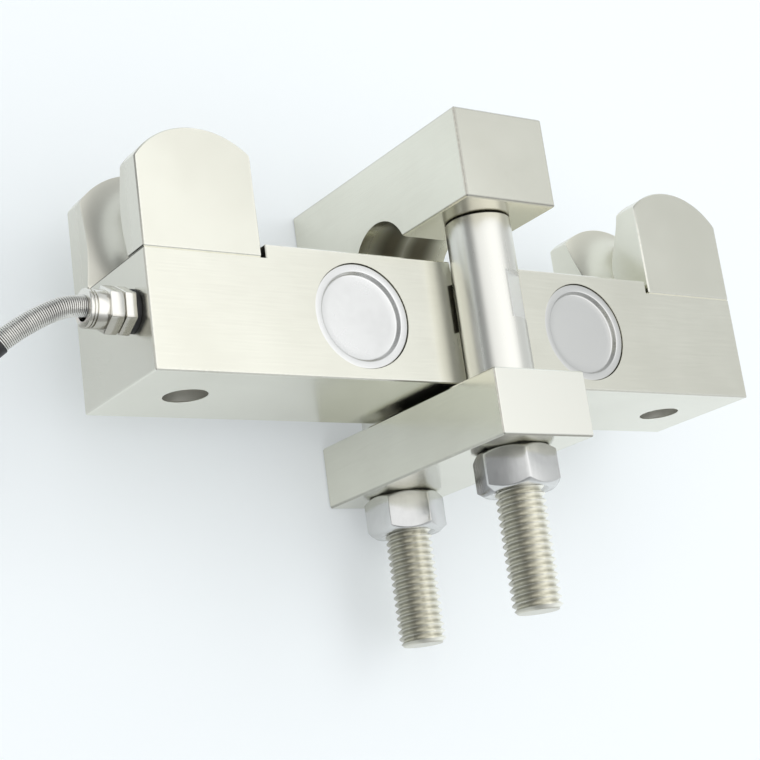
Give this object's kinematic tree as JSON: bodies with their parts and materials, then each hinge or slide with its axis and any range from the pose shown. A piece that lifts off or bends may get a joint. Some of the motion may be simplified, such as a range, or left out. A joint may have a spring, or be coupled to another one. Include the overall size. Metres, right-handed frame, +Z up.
{
  "type": "wire rope load cell",
  "caption": "Steel beam load cell with a grooved rope saddle at each end and a bolted clamp that presses a wire rope down between them, with a sprung cable outlet.",
  "frame": {"origin": "bottom centre of the metal body, without the cable and its gland, on the surface that the cell lies on", "axes": "+X along the beam and the rope, away from the cable; +Y from the beam to the clamp block; +Z up, towards the front face"},
  "size_m": [0.2726, 0.12, 0.0746],
  "materials": {
    "plated_steel": "satin nickel plate with fine brushing",
    "bright_steel": "bright satin plate",
    "cover_steel": "smooth polished sheet",
    "plated_brass": "bright nickel plate",
    "spring_wire": "bright drawn wire",
    "black_rubber": "matte",
    "black_sleeve": "shrunk sleeve, satin",
    "cable_jacket": "flexible jacket, satin",
    "tie_nylon": "moulded",
    "core_insulation": "coloured insulation",
    "gauge_film": "amber film",
    "board_laminate": "laminate"
  },
  "bodies": {
    "root": {"sensor_beam": "plated_steel", "clamp_block": "plated_steel", "clamp_plate": "plated_steel", "left_rope_saddle": "plated_steel", "right_rope_saddle": "plated_steel", "front_clamp_pillar": "bright_steel", "rear_clamp_pillar": "bright_steel", "front_clamp_nut": "bright_steel", "rear_clamp_nut": "bright_steel", "left_saddle_screw": "bright_steel", "right_saddle_screw": "bright_steel", "front_left_cover": "cover_steel", "front_right_cover": "cover_steel", "rear_left_cover": "cover_steel", "rear_right_cover": "cover_steel", "gland_body": "plated_brass", "gland_nut": "plated_brass", "strain_relief_spring": "spring_wire", "gland_seal": "black_rubber", "gland_grommet": "black_rubber", "spring_sleeve": "black_sleeve", "inner_cable": "cable_jacket", "cable": "cable_jacket", "cable_coil": "cable_jacket", "cable_tail": "cable_jacket", "coil_tie": "tie_nylon", "cable_cores": "core_insulation", "link_wires": "core_insulation", "lead_wires": "core_insulation", "front_left_gauge": "gauge_film", "front_right_gauge": "gauge_film", "rear_left_gauge": "gauge_film", "rear_right_gauge": "gauge_film", "terminal_board": "board_laminate"}
  },
  "joints": []
}
